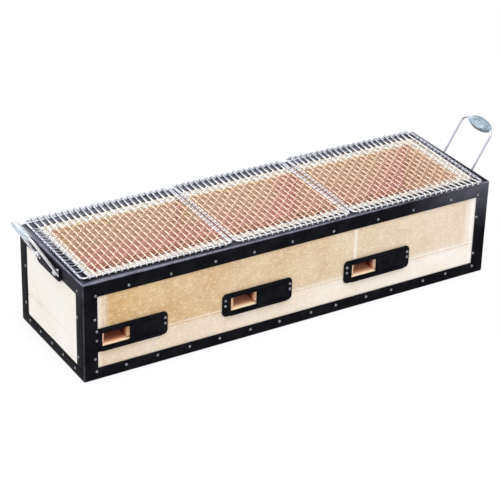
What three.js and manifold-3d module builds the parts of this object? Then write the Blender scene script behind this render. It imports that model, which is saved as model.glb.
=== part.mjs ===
// A long charcoal konro (hibachi grill): a box of cut diatomite blocks held by twelve black steel
// angles, with three sliding vent doors in front, grates inside, three cooking nets on top and a
// wire bail handle at each end.
// Millimetres. X runs along the grill, Y front to back with the vents at -Y, +Z is up.
// The origin is at the middle of the footprint, on the surface the grill stands on.

import * as THREE from 'three';
import { mergeVertices } from 'three/addons/utils/BufferGeometryUtils.js';
import Module from 'manifold-3d';

const wasm = await Module();
wasm.setup();

// ---------------------------------------------------------------- driving dimensions

const LENGTH = 798;
const DEPTH = 236;
const HEIGHT = 180;
const GAP = 0.3;                 // between pieces that touch
const ARC_STEPS = 4;             // segments in a quarter of a small bend
const ROUND_STEPS = 16;          // segments round a grip
const EYE_STEPS = 20;            // segments round an eyelet
const WIRE_STEPS = 5;            // segments in a quarter of the bail wire's section
const OVERCUT = 1;               // how far a cutter stands past the face that it cuts

const STEEL = 1.5;               // thickness of the angles
const BEND = 3;                  // outer bend radius of the angles
const TOP_BAND = 27;             // height of the upper angles' upright leg
const BOTTOM_BAND = 22;
const TOP_FLANGE = 21;           // width of the upper angles' flat leg
const BOTTOM_FLANGE = 24;
const POST = 26;                 // width of both legs of a corner post

const BASE_TOP = 63.5;           // top of the base course, level with the vent tunnels' floor
const WALL = 38;                 // thickness of the end walls
const SIDE_WALL = 36.5;          // thickness of the front and back walls
const LEDGE_TOP = 92;            // the grates rest here
const LEDGE = 9;                 // how far the ledge stands into the cavity
const BLOCKS = 3;                // blocks in the front wall and in the back wall
const BLOCK_CHAMFER = 2.6;       // the blocks' outer edges, which clear the bends of the angles
const TUNNEL_WIDTH = 39.5;
const TUNNEL_TOP = 86;

const PLATE_LENGTH = 135;        // vent plates
const PLATE_HEIGHT = 42;
const PLATE_Z = 52;
const PLATE_SHEET = 1;
const PLATE_CORNER = 8;
const PLATE_LEFTS = [-381, -143, 97];
const VENT_FROM_LEFT = 17;       // from a plate's left end to its opening
const VENT_LENGTH = 49.5;
const VENT_HEIGHT = 24;
const VENT_RISE = 8;             // from a plate's lower edge to its opening
const RAIL = 2.6;                // the closed edge of a rail, above and below a door
const RAIL_LIP = 5.6;            // the part of a rail that laps over a door
const PAD = 1.4;                 // the raised ends of a plate, which stop the door
const PAD_SETBACK = 2;           // from the opening to the raised end on its left
const DOOR_LENGTH = 57;
const DOOR_SHEET = 1.4;
const DOOR_LIP = 6.5;            // the pull lip along a door's left edge
const DOOR_LIP_RISE = 2.4;

const GRATE_THICK = 3.2;
const GRATE_SLOT = 9;
const GRATE_SLOTS = 12;          // along one grate
const GRATE_RIM = 9;             // left and right of the slots
const GRATE_END = 14;            // in front of and behind the slots
const GRATE_SPINE = 10;          // between the two rows of slots
const GRATE_PLAY = 2;            // all round a grate

const NET_SEAMS = [-115.5, 112.5];   // between the three nets
const NET_ENDS = [-393.5, 386];
const NET_FRONTS = [-111, -116, -120.5];
const NET_BACKS = [119, 117.5, 117.5];
const NET_THICK = 7.4;           // the border rod with the wires looped round it
const NET_BORDER = 7;            // the border rod and the wire that lies beside it
const NET_WIRE = 2.5;
const NET_PITCH = 11.1;
const NET_TURNS = [-1.1, -0.8, -1.7];    // degrees: each net lies a little askew

const HANDLE_YS = { left: -3, right: -10 };  // the handles sit a little forward of the middle
const HANDLE_Z = 167;            // height of the pivots
const PIVOT_OUT = 7;             // from the end of the frame to the pivots
const HANDLE_REACH = 82;         // pivot to grip
const HANDLE_SPAN = 84;          // between the two legs of a bail
const HANDLE_LEAN = 31;          // degrees outwards from upright
const WIRE = 4;                  // bail wire diameter
const BAIL_BEND = 10;
const FOOT_BEND = 5;
const BAIL_STEPS = 52;           // along the whole wire
const STUB = 11;                 // from a leg's middle to the end of its pivot stub
const EYE_BORE = 2.4;            // radius of the hole in an eyelet
const EYE_OUTER = 4.7;
const EYE_WIDTH = 5;
const EYE_FOOT = 8;              // from the pivots down to the end of an eyelet's foot
const GRIP_LENGTH = 60;
const GRIP_WIDTH = 24;
const GRIP_THICK = 13;
const GRIP_END = 6.6;            // the grip's width where it closes on the wire
const GRIP_STATIONS = 10;        // along the grip
const GRIP_SHIFTS = { left: 0, right: -4 };  // from the middle of the bail, along Y
const HANDLE_PLATE_LENGTH = 92;
const HANDLE_PLATE_LOW = 148;
const HANDLE_PLATE_HIGH = 173;
const HANDLE_PLATE_CORNER = 12;
const HANDLE_PLATE_SHIFT = 4;    // how far a plate's middle is behind its handle's

// ---------------------------------------------------------------- derived places

const halfX = LENGTH / 2;
const halfY = DEPTH / 2;
const bodyX = halfX - STEEL - GAP;        // outer faces of the diatomite
const bodyY = halfY - STEEL - GAP;
const bodyBottom = STEEL + GAP;
const bodyTop = HEIGHT - STEEL - GAP;
const cavityX = bodyX - WALL;
const cavityY = bodyY - SIDE_WALL;
const blockPitch = (2 * cavityX) / BLOCKS;
const TAU = Math.PI * 2;

// ---------------------------------------------------------------- materials

function finish(color, roughness, metalness) {
  return new THREE.MeshStandardMaterial({ color, roughness, metalness });
}

const diatomite = finish(0xe6cfa6, 0.95, 0);
const paleDiatomite = finish(0xeadfcb, 0.95, 0);
const blackSteel = finish(0x17171b, 0.4, 0.3);
const castIron = finish(0x4b3f3a, 0.8, 0.4);
const brightWire = finish(0xc9ccd0, 0.35, 0.9);
const stamped = finish(0xaab4bd, 0.4, 0.85);

// ---------------------------------------------------------------- helpers

const grill = new THREE.Group();

function addMesh(name, geometry, material, group = grill) {
  const mesh = new THREE.Mesh(geometry, material);
  mesh.name = name;
  group.add(mesh);
  return mesh;
}

function toSolid(geometry) {
  const bare = geometry.clone();
  bare.deleteAttribute('normal');
  bare.deleteAttribute('uv');
  const merged = mergeVertices(bare, 1e-4);
  return new wasm.Manifold(new wasm.Mesh({
    numProp: 3,
    vertProperties: new Float32Array(merged.attributes.position.array),
    triVerts: new Uint32Array(merged.index.array),
  }));
}

function toGeometry(solid) {
  const mesh = solid.getMesh();
  const geometry = new THREE.BufferGeometry();
  geometry.setAttribute('position', new THREE.BufferAttribute(mesh.vertProperties, 3));
  geometry.setIndex(new THREE.BufferAttribute(mesh.triVerts, 1));
  geometry.computeVertexNormals();
  return geometry;
}

// A box from its lowest and highest corners.
function boxSolid(low, high) {
  const size = high.map((value, axis) => value - low[axis]);
  const geometry = new THREE.BoxGeometry(...size);
  geometry.translate(...low.map((value, axis) => value + size[axis] / 2));
  return toSolid(geometry);
}

function joined(solids) {
  return solids.reduce((sum, next) => sum.add(next));
}

function without(solid, cutters) {
  return cutters.reduce((rest, cutter) => rest.subtract(cutter), solid);
}

// An outline drawn in X and Z, given its thickness along +Y from the plane y = start.
function standing(shape, start, thickness) {
  const geometry = new THREE.ExtrudeGeometry(shape, {
    depth: thickness, bevelEnabled: false, curveSegments: ARC_STEPS,
  });
  geometry.rotateX(Math.PI / 2);
  geometry.translate(0, start + thickness, 0);
  return geometry;
}

// An outline drawn in Y and Z, given its thickness along +X from the plane x = start.
function sideways(shape, start, thickness) {
  const geometry = new THREE.ExtrudeGeometry(shape, {
    depth: thickness, bevelEnabled: false, curveSegments: ARC_STEPS,
  });
  geometry.rotateX(Math.PI / 2);
  geometry.rotateZ(Math.PI / 2);
  geometry.translate(start, 0, 0);
  return geometry;
}

// A rectangle whose four corners are rounded.
function roundedRectangle(x0, z0, x1, z1, radius) {
  const shape = new THREE.Shape();
  shape.moveTo(x0 + radius, z0);
  shape.lineTo(x1 - radius, z0);
  shape.absarc(x1 - radius, z0 + radius, radius, -Math.PI / 2, 0);
  shape.lineTo(x1, z1 - radius);
  shape.absarc(x1 - radius, z1 - radius, radius, 0, Math.PI / 2);
  shape.lineTo(x0 + radius, z1);
  shape.absarc(x0 + radius, z1 - radius, radius, Math.PI / 2, Math.PI);
  shape.lineTo(x0, z0 + radius);
  shape.absarc(x0 + radius, z0 + radius, radius, Math.PI, Math.PI * 1.5);
  return shape;
}

// ---------------------------------------------------------------- diatomite blocks

// A square bar turned 45 degrees about its length. It cuts one outer edge of the diatomite body
// back to a chamfer: along is the edge's direction, and corner is a point on the edge.
function edgeCutter(along, corner) {
  const width = BLOCK_CHAMFER * Math.SQRT2;
  const size = { x: width, y: width, z: width, [along]: LENGTH * 2 };
  const bar = new THREE.BoxGeometry(size.x, size.y, size.z);
  const turn = { x: 'rotateX', y: 'rotateY', z: 'rotateZ' }[along];
  bar[turn](Math.PI / 4);
  bar.translate(...corner);
  return toSolid(bar);
}

function makeBase() {
  const slab = boxSolid([-bodyX, -bodyY, bodyBottom], [bodyX, bodyY, BASE_TOP]);
  const cutters = [-1, 1].flatMap((side) => [
    edgeCutter('z', [side * bodyX, -bodyY, 0]),
    edgeCutter('z', [side * bodyX, bodyY, 0]),
    edgeCutter('y', [side * bodyX, 0, bodyBottom]),
    edgeCutter('x', [0, side * bodyY, bodyBottom]),
  ]);
  addMesh('base_slab', toGeometry(without(slab, cutters)), paleDiatomite);
}

function makeEndWall(side, name) {
  const inner = side * (cavityX + GAP);
  const outer = side * bodyX;
  const wall = boxSolid([Math.min(inner, outer), -bodyY, BASE_TOP + GAP],
    [Math.max(inner, outer), bodyY, bodyTop]);
  const cutters = [
    edgeCutter('z', [outer, -bodyY, 0]),
    edgeCutter('z', [outer, bodyY, 0]),
    edgeCutter('y', [outer, 0, bodyTop]),
    edgeCutter('x', [0, -bodyY, bodyTop]),
    edgeCutter('x', [0, bodyY, bodyTop]),
  ];
  addMesh(name, toGeometry(without(wall, cutters)), paleDiatomite);
}

// One block of the front (side -1) or back (side 1) wall. A front block has its air tunnel in its
// lower left corner, against the next block.
function makeSideBlock(side, index) {
  const left = -cavityX + index * blockPitch + GAP / 2;
  const right = left + blockPitch - GAP;
  const depthSpan = (from, to) => (side > 0 ? [from, to] : [-to, -from]);
  const [y0, y1] = depthSpan(cavityY, bodyY);
  const [ledge0, ledge1] = depthSpan(cavityY - LEDGE, cavityY + OVERCUT);
  const wall = boxSolid([left, y0, BASE_TOP + GAP], [right, y1, bodyTop]);
  const ledge = boxSolid([left, ledge0, BASE_TOP + GAP], [right, ledge1, LEDGE_TOP]);
  const cutters = [edgeCutter('x', [0, side * bodyY, bodyTop])];
  if (side < 0) {
    const tunnelStart = [left - OVERCUT, -halfY, BASE_TOP - OVERCUT];
    cutters.push(boxSolid(tunnelStart, [left + TUNNEL_WIDTH, 0, TUNNEL_TOP]));
  }
  const name = `${side < 0 ? 'front' : 'back'}_block_${index + 1}`;
  addMesh(name, toGeometry(without(joined([wall, ledge]), cutters)), diatomite);
}

// ---------------------------------------------------------------- steel angles

// The L section of an angle whose outer corner is at the origin and whose legs run along +a and +b.
function angleSection(legA, legB) {
  const inner = BEND - STEEL;
  const shape = new THREE.Shape();
  shape.moveTo(BEND, 0);
  shape.lineTo(legA, 0);
  shape.lineTo(legA, STEEL);
  shape.lineTo(STEEL + inner, STEEL);
  shape.absarc(BEND, BEND, inner, Math.PI * 1.5, Math.PI, true);
  shape.lineTo(STEEL, legB);
  shape.lineTo(0, legB);
  shape.lineTo(0, BEND);
  shape.absarc(BEND, BEND, BEND, Math.PI, Math.PI * 1.5);
  return shape;
}

// A straight angle along +X from the origin, legs along +Y and +Z.
function angleBar(legY, legZ, length) {
  return sideways(angleSection(legY, legZ), 0, length);
}

// A prism over the triangle or trapezium that a mitred bar of the rectangular frame fills.
function mitreWedge(side, alongX) {
  const a = alongX ? halfX : halfY;
  const b = alongX ? halfY : halfX;
  const inset = GAP * Math.SQRT1_2;
  const outer = OVERCUT;                      // past the corner of the frame
  const inner = -BOTTOM_FLANGE * 2;           // well inside the flange's inner edge
  const outline = [
    [-(a + outer) + inset, b + outer], [a + outer - inset, b + outer],
    [a + inner - inset, b + inner], [-(a + inner) + inset, b + inner],
  ];
  const shape = new THREE.Shape(outline.map(([u, v]) => new THREE.Vector2(u, v)));
  const prism = new THREE.ExtrudeGeometry(shape, { depth: HEIGHT * 2, bevelEnabled: false });
  prism.translate(0, 0, -HEIGHT / 2);
  if (alongX && side < 0) prism.rotateZ(Math.PI);
  if (!alongX) prism.rotateZ(side > 0 ? -Math.PI / 2 : Math.PI / 2);
  return toSolid(prism);
}

// The outer shape of the frame seen from above, with softly rounded corners.
function frameOutline() {
  const shape = roundedRectangle(-halfX, -halfY, halfX, halfY, BEND);
  const prism = new THREE.ExtrudeGeometry(shape, {
    depth: HEIGHT * 2, bevelEnabled: false, curveSegments: ARC_STEPS,
  });
  prism.translate(0, 0, -HEIGHT / 2);
  return toSolid(prism);
}

// One of the eight level angles: level is 1 at the top and -1 at the bottom.
function makeLevelAngle(name, alongX, side, level) {
  const length = alongX ? LENGTH : DEPTH;
  const [flange, band] = level > 0 ? [TOP_FLANGE, TOP_BAND] : [BOTTOM_FLANGE, BOTTOM_BAND];
  const bar = angleBar(flange, band, length);
  bar.translate(-length / 2, alongX ? -halfY : -halfX, 0);
  if (level > 0) {
    bar.rotateX(Math.PI);
    bar.translate(0, 0, HEIGHT);
  }
  const facing = level > 0 ? 1 : -1;            // the side that the bar's upright leg is on now
  if (alongX && side !== facing) bar.rotateZ(Math.PI);
  if (!alongX) bar.rotateZ(side === facing ? -Math.PI / 2 : Math.PI / 2);
  const solid = toSolid(bar).intersect(mitreWedge(side, alongX)).intersect(frameOutline());
  addMesh(name, toGeometry(solid), blackSteel);
}

function makePost(name, sideX, sideY) {
  const height = HEIGHT - TOP_BAND - BOTTOM_BAND - 2 * GAP;
  const post = new THREE.ExtrudeGeometry(angleSection(POST, POST), {
    depth: height, bevelEnabled: false, curveSegments: ARC_STEPS,
  });
  post.translate(-halfX, -halfY, BOTTOM_BAND + GAP);
  const turned = toSolid(post);
  const mirrored = turned.scale([sideX < 0 ? 1 : -1, sideY < 0 ? 1 : -1, 1]);
  addMesh(name, toGeometry(mirrored), blackSteel);
}

// ---------------------------------------------------------------- vents

const plateBack = -bodyY - GAP;               // a plate lies on the front wall
const plateFace = plateBack - PLATE_SHEET;
const doorBack = plateFace - GAP;
const doorFace = doorBack - DOOR_SHEET;
const lipBack = doorFace - GAP;
const lipFace = lipBack - PLATE_SHEET;

// The plate's raised ends sit left of the closed door and right of the open one.
function makeVentPlate(index) {
  const left = PLATE_LEFTS[index];
  const right = left + PLATE_LENGTH;
  const low = PLATE_Z;
  const high = PLATE_Z + PLATE_HEIGHT;
  const outline = toSolid(standing(
    roundedRectangle(left, low, right, high, PLATE_CORNER), lipFace, plateBack - lipFace,
  ));
  const ventLeft = left + VENT_FROM_LEFT;
  const doorRight = ventLeft + VENT_LENGTH + DOOR_LENGTH;
  const trackLow = low + RAIL;
  const trackHigh = high - RAIL;
  const ahead = lipFace - OVERCUT;
  const padLeft = ventLeft - PAD_SETBACK;
  const [outLeft, outRight, outLow, outHigh] = [
    left - OVERCUT, right + OVERCUT, low - OVERCUT, high + OVERCUT,
  ];
  const padFace = plateFace - PAD;
  const cutters = [
    boxSolid([padLeft, lipBack, trackLow], [doorRight + GAP, plateFace, trackHigh]),
    boxSolid([outLeft, ahead, low + RAIL_LIP], [outRight, padFace, high - RAIL_LIP]),
    boxSolid([outLeft, ahead, outLow], [padLeft, padFace, outHigh]),
    boxSolid([doorRight + GAP, ahead, outLow], [outRight, padFace, outHigh]),
    boxSolid([ventLeft, ahead, low + VENT_RISE],
      [ventLeft + VENT_LENGTH, plateBack + OVERCUT, low + VENT_RISE + VENT_HEIGHT]),
  ];
  const postEdge = -halfX + POST + GAP;
  if (left < postEdge) {
    cutters.push(boxSolid([outLeft, ahead, outLow], [postEdge, plateBack + OVERCUT, outHigh]));
  }
  addMesh(`vent_plate_${index + 1}`, toGeometry(without(outline, cutters)), blackSteel);
}

// A flat door with a lip along its left edge, standing in the open position.
function makeVentDoor(index) {
  const left = PLATE_LEFTS[index] + VENT_FROM_LEFT + VENT_LENGTH;
  const low = PLATE_Z + RAIL + GAP;
  const high = PLATE_Z + PLATE_HEIGHT - RAIL - GAP;
  const lipLow = PLATE_Z + RAIL_LIP + GAP;
  const lipHigh = PLATE_Z + PLATE_HEIGHT - RAIL_LIP - GAP;
  const sheet = boxSolid([left, doorFace, low], [left + DOOR_LENGTH, doorBack, high]);
  const lip = boxSolid([left, doorFace - DOOR_LIP_RISE, lipLow],
    [left + DOOR_LIP, doorFace + DOOR_SHEET / 2, lipHigh]);
  const hollow = boxSolid(
    [left + PLATE_SHEET, doorFace - DOOR_LIP_RISE + PLATE_SHEET, lipLow - OVERCUT],
    [left + DOOR_LIP + OVERCUT, doorFace, lipHigh + OVERCUT],
  );
  addMesh(`vent_door_${index + 1}`, toGeometry(joined([sheet, lip]).subtract(hollow)), blackSteel);
}

// ---------------------------------------------------------------- grates and nets

function makeGrate(index) {
  const left = -cavityX + index * blockPitch + GRATE_PLAY;
  const right = left + blockPitch - 2 * GRATE_PLAY;
  const reach = cavityY - GRATE_PLAY;
  const low = LEDGE_TOP + GAP;
  const slab = boxSolid([left, -reach, low], [right, reach, low + GRATE_THICK]);
  const pitch = (right - left - 2 * GRATE_RIM - GRATE_SLOT) / (GRATE_SLOTS - 1);
  const inner = GRATE_SPINE / 2;
  const outer = reach - GRATE_END;
  const [below, above] = [low - OVERCUT, low + GRATE_THICK + OVERCUT];
  const slots = [];
  for (let slot = 0; slot < GRATE_SLOTS; slot += 1) {
    const x = left + GRATE_RIM + slot * pitch;
    slots.push(boxSolid([x, -outer, below], [x + GRATE_SLOT, -inner, above]));
    slots.push(boxSolid([x, inner, below], [x + GRATE_SLOT, outer, above]));
  }
  addMesh(`fire_grate_${index + 1}`, toGeometry(without(slab, slots)), castIron);
}

// The room that a net needs on its side of a seam, where its neighbour lies at another turn.
function seamPlay(seam, reach) {
  const between = THREE.MathUtils.degToRad(NET_TURNS[seam + 1] - NET_TURNS[seam]) / 2;
  return GAP + reach * Math.abs(Math.sin(between));
}

// A net is a border with wires across it. Of the wires that run lengthways only the middle one is
// a solid.
function makeNet(index, name) {
  const reach = (NET_BACKS[index] - NET_FRONTS[index]) / 2;
  const bounds = [NET_ENDS[0], ...NET_SEAMS, NET_ENDS[1]];
  const left = bounds[index] + (index > 0 ? seamPlay(index - 1, reach) : 0);
  const right = bounds[index + 1] - (index < NET_SEAMS.length ? seamPlay(index, reach) : 0);
  const half = (right - left) / 2;
  const sheet = boxSolid([-half, -reach, 0], [half, reach, NET_THICK]);
  const inside = boxSolid([-half + NET_BORDER, -reach + NET_BORDER, -OVERCUT],
    [half - NET_BORDER, reach - NET_BORDER, NET_THICK + OVERCUT]);
  const low = (NET_THICK - NET_WIRE) / 2;
  const high = low + NET_WIRE;
  const count = Math.floor((2 * half) / NET_PITCH) - 1;
  const endX = half - NET_BORDER / 2;         // the wires end inside the border
  const endY = reach - NET_BORDER / 2;
  const wires = [boxSolid([-endX, -NET_WIRE / 2, low], [endX, NET_WIRE / 2, high])];
  for (let wire = 0; wire < count; wire += 1) {
    const x = (wire - (count - 1) / 2) * NET_PITCH - NET_WIRE / 2;
    wires.push(boxSolid([x, -endY, low], [x + NET_WIRE, endY, high]));
  }
  const net = joined([sheet.subtract(inside), ...wires]);
  const mesh = addMesh(name, toGeometry(net), brightWire);
  const middleY = (NET_FRONTS[index] + NET_BACKS[index]) / 2;
  mesh.position.set((left + right) / 2, middleY, HEIGHT + GAP);
  mesh.rotation.z = THREE.MathUtils.degToRad(NET_TURNS[index]);
}

// ---------------------------------------------------------------- handles

const handlePlateOut = halfX + GAP;           // inner face of a handle plate
const handlePlateFace = handlePlateOut + STEEL;
const pivotX = halfX + PIVOT_OUT;

// The plate that carries the eyelets. Its lower corners are rounded.
function makeHandlePlate(side, middleY, name) {
  const reach = HANDLE_PLATE_LENGTH / 2;
  const r = HANDLE_PLATE_CORNER;
  const shape = new THREE.Shape();
  shape.moveTo(-reach, HANDLE_PLATE_HIGH);
  shape.lineTo(-reach, HANDLE_PLATE_LOW + r);
  shape.absarc(-reach + r, HANDLE_PLATE_LOW + r, r, Math.PI, Math.PI * 1.5);
  shape.lineTo(reach - r, HANDLE_PLATE_LOW);
  shape.absarc(reach - r, HANDLE_PLATE_LOW + r, r, Math.PI * 1.5, TAU);
  shape.lineTo(reach, HANDLE_PLATE_HIGH);
  const start = side > 0 ? handlePlateOut : -handlePlateFace;
  const plate = sideways(shape, start, STEEL);
  plate.translate(0, middleY + HANDLE_PLATE_SHIFT, 0);
  addMesh(name, plate, blackSteel);
}

// A strap eyelet: a ring about the pivot line on a flat foot that lies on the handle plate.
function makeEyelet(side, y, name) {
  const round = (radius, width) => {
    const cylinder = new THREE.CylinderGeometry(radius, radius, width, EYE_STEPS);
    cylinder.translate(pivotX, y, HANDLE_Z);
    return toSolid(cylinder);
  };
  const back = handlePlateFace + GAP;
  const foot = boxSolid([back, y - EYE_WIDTH / 2, HANDLE_Z - EYE_FOOT],
    [back + STEEL, y + EYE_WIDTH / 2, HANDLE_Z + EYE_OUTER]);
  const eyelet = joined([round(EYE_OUTER, EYE_WIDTH), foot])
    .subtract(round(EYE_BORE, EYE_WIDTH * 2));
  const sided = side > 0 ? eyelet : eyelet.rotate([0, 0, 180]).translate([0, 2 * y, 0]);
  addMesh(name, toGeometry(sided), brightWire);
}

// The bail's centre line in its own plane: u across the handle and v away from the pivots.
function bailPath() {
  const half = HANDLE_SPAN / 2;
  const path = new THREE.CurvePath();
  const point = (u, v) => new THREE.Vector3(u, 0, v);
  const line = (from, to) => path.add(new THREE.LineCurve3(from, to));
  const bend = (from, corner, to) => path.add(new THREE.QuadraticBezierCurve3(from, corner, to));
  line(point(-half + STUB, 0), point(-half + FOOT_BEND, 0));
  bend(point(-half + FOOT_BEND, 0), point(-half, 0), point(-half, FOOT_BEND));
  line(point(-half, FOOT_BEND), point(-half, HANDLE_REACH - BAIL_BEND));
  bend(point(-half, HANDLE_REACH - BAIL_BEND), point(-half, HANDLE_REACH),
    point(-half + BAIL_BEND, HANDLE_REACH));
  line(point(-half + BAIL_BEND, HANDLE_REACH), point(half - BAIL_BEND, HANDLE_REACH));
  bend(point(half - BAIL_BEND, HANDLE_REACH), point(half, HANDLE_REACH),
    point(half, HANDLE_REACH - BAIL_BEND));
  line(point(half, HANDLE_REACH - BAIL_BEND), point(half, FOOT_BEND));
  bend(point(half, FOOT_BEND), point(half, 0), point(half - FOOT_BEND, 0));
  line(point(half - FOOT_BEND, 0), point(half - STUB, 0));
  return path;
}

function makeBail(name, group) {
  const section = new THREE.Shape();
  section.absarc(0, 0, WIRE / 2, 0, TAU);
  const wire = new THREE.ExtrudeGeometry(section, {
    steps: BAIL_STEPS, curveSegments: WIRE_STEPS, extrudePath: bailPath(), bevelEnabled: false,
  });
  wire.rotateZ(Math.PI / 2);
  addMesh(name, toGeometry(toSolid(wire)), brightWire, group);
}

// The stamped grip: a flat spindle round the top of the bail, closing on the wire at its ends.
function makeGrip(name, shift, group) {
  const half = GRIP_LENGTH / 2;
  const neck = GRIP_END / GRIP_WIDTH;
  const profile = [new THREE.Vector2(0, -half)];
  for (let i = 0; i <= GRIP_STATIONS; i += 1) {
    const t = (i / GRIP_STATIONS) * 2 - 1;
    const swell = neck + (1 - neck) * Math.sqrt(1 - t * t);
    profile.push(new THREE.Vector2((GRIP_WIDTH / 2) * swell, t * half));
  }
  profile.push(new THREE.Vector2(0, half));
  const spindle = new THREE.LatheGeometry(profile, ROUND_STEPS);
  spindle.scale(GRIP_THICK / GRIP_WIDTH, 1, 1);
  spindle.translate(0, shift, HANDLE_REACH);
  const rod = (radius, length) => {
    const cylinder = new THREE.CylinderGeometry(radius, radius, length, ROUND_STEPS);
    cylinder.translate(0, shift, HANDLE_REACH);
    return toSolid(cylinder);
  };
  const collar = rod(GRIP_END / 2, GRIP_LENGTH);
  const bore = rod(WIRE / 2 + GAP, GRIP_LENGTH * 2);
  const grip = toSolid(spindle).add(collar).subtract(bore);
  addMesh(name, toGeometry(grip), stamped, group);
}

function makeHandle(side, label) {
  const middleY = HANDLE_YS[label];
  makeHandlePlate(side, middleY, `handle_plate_${label}`);
  const eyeY = HANDLE_SPAN / 2 - STUB + EYE_WIDTH / 2 + GAP;
  makeEyelet(side, middleY - eyeY, `eyelet_${label}_front`);
  makeEyelet(side, middleY + eyeY, `eyelet_${label}_back`);
  const swing = new THREE.Group();
  swing.position.set(side * pivotX, middleY, HANDLE_Z);
  swing.rotation.y = side * THREE.MathUtils.degToRad(HANDLE_LEAN);
  makeBail(`bail_${label}`, swing);
  makeGrip(`grip_${label}`, GRIP_SHIFTS[label], swing);
  grill.add(swing);
}

// ---------------------------------------------------------------- the whole grill

makeBase();
makeEndWall(-1, 'end_wall_left');
makeEndWall(1, 'end_wall_right');
for (let index = 0; index < BLOCKS; index += 1) {
  makeSideBlock(-1, index);
  makeSideBlock(1, index);
  makeGrate(index);
}
for (const [level, height] of [[1, 'top'], [-1, 'bottom']]) {
  makeLevelAngle(`${height}_angle_front`, true, -1, level);
  makeLevelAngle(`${height}_angle_back`, true, 1, level);
  makeLevelAngle(`${height}_angle_left`, false, -1, level);
  makeLevelAngle(`${height}_angle_right`, false, 1, level);
}
for (const [sideX, x] of [[-1, 'left'], [1, 'right']]) {
  makePost(`post_front_${x}`, sideX, -1);
  makePost(`post_back_${x}`, sideX, 1);
  makeHandle(sideX, x);
}
for (let index = 0; index < PLATE_LEFTS.length; index += 1) {
  makeVentPlate(index);
  makeVentDoor(index);
}
['left', 'middle', 'right'].forEach((place, index) => makeNet(index, `cooking_net_${place}`));

export default grill;
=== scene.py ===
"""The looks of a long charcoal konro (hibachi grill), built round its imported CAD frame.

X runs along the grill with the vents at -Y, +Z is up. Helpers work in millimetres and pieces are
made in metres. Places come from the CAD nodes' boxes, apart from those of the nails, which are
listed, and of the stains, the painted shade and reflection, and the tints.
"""

import functools
import math
import random

import bmesh
import bpy
import numpy as np
from mathutils import Matrix, Vector, noise


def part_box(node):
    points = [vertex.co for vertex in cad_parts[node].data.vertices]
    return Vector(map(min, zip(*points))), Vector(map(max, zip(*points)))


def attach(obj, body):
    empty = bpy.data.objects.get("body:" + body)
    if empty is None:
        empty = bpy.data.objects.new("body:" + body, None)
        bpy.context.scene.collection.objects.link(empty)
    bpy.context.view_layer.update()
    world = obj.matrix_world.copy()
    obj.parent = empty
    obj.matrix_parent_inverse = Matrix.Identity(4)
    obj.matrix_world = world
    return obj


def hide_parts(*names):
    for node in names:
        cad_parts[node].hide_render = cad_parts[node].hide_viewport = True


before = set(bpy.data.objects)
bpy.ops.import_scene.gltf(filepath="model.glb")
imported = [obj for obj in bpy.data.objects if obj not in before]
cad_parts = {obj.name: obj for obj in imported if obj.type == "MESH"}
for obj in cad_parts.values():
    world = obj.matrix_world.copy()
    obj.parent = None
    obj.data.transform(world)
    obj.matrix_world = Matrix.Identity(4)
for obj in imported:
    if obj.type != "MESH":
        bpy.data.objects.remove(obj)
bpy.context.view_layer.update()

MM = 0.001

# ---------------------------------------- sizes that the frame doesn't say

STEEL = 1.5                # thickness of the angles
BEND = 3.0                 # outer radius of their bend and of the frame's corners
RAIL_STEP = 28             # between two sections of an angle
RIPPLE = 0.16              # how far hand-bent steel wanders
CREASE = 38                # degrees: an edge that is sharper stays crisp

BLOCK_VOXEL = 2.8          # the grain of the block meshes
SLAB_VOXEL = 4.0
SAW_DRIFT = 0.35           # unevenness of a sawn face
CHIP = 2.6                 # the deepest chip along an edge
FACING = 0.6               # a normal's least share along the axis that its face looks to

NET_TURNS = {"left": -1.1, "middle": -0.8, "right": -1.7}    # degrees, as in the CAD model
NET_PITCH = 11.1
NET_WIRE = 2.8             # the crosswise wires, which are almost straight
NET_LONG_WIRE = 1.3        # the lengthwise wires, which are woven over and under them
NET_FLAT = 1.35            # how much wider than high the rolled crosswise wires are
NET_SWAY = 0.15            # how far a crosswise wire gives way
NET_ROD = 2.4              # border rod
NET_HEM = 1.9              # the wire beside it
NET_SELVAGE = 5.6          # from the border's outer edge to one more such wire beside a seam
NET_CORNER = 7             # bend radius of the rod
HEAT_PAST_FRONT = 19       # how far past each edge of the chamber the fire tints the wires
HEAT_PAST_LEFT = 11
HEAT_PAST_BACK = -4        # negative where the tint stays short of the edge
HEAT_PAST_RIGHT = -5
HEAT_FADE = 4              # width of the tint's own edge
WEAVE_STEPS = 4            # sections of a woven wire in one pitch

HANDLE_LEAN = 31           # degrees outwards from upright
HANDLE_SPAN = 84
HANDLE_REACH = 82
WIRE = 4.6                 # the bail's, a little thicker than the CAD model's
BAIL_FOOT = 5              # bend radius from a leg to its pivot stub
BAIL_SHOULDER = 13         # bend radius from a leg to the top
BAIL_STUB = 11             # from a leg's middle to the end of its pivot stub
EYE_RADIUS = 4.7           # outside of an eyelet
GRIP_LENGTH = 60
GRIP_WIDTH = 24
GRIP_THICK = 12.6
GRIP_NECK = 3.3            # half the grip's width and thickness at its tips
GRIP_RIM = 0.12            # half its thickness where the two sheets meet

NAIL = 2.6                 # radius of a nail head
NAIL_RISE = 1.1
NAIL_TILT = 0.08           # how far a head leans at most
NAIL_SIDES = 14

random.seed(7)


@functools.cache
def box_mm(node):
    """The lowest and highest corner of a CAD node, in millimetres."""
    low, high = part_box(node)
    return low / MM, high / MM


# ---------------------------------------- camera, light and floor

CAMERA_PLACE = (-1.5239, -2.4505, 1.6390)
CAMERA_TURN = -0.5504
CAMERA_TILT = 1.0772
CAMERA_ROLL = 0.0281
CAMERA_LENS = 136.36


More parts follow.
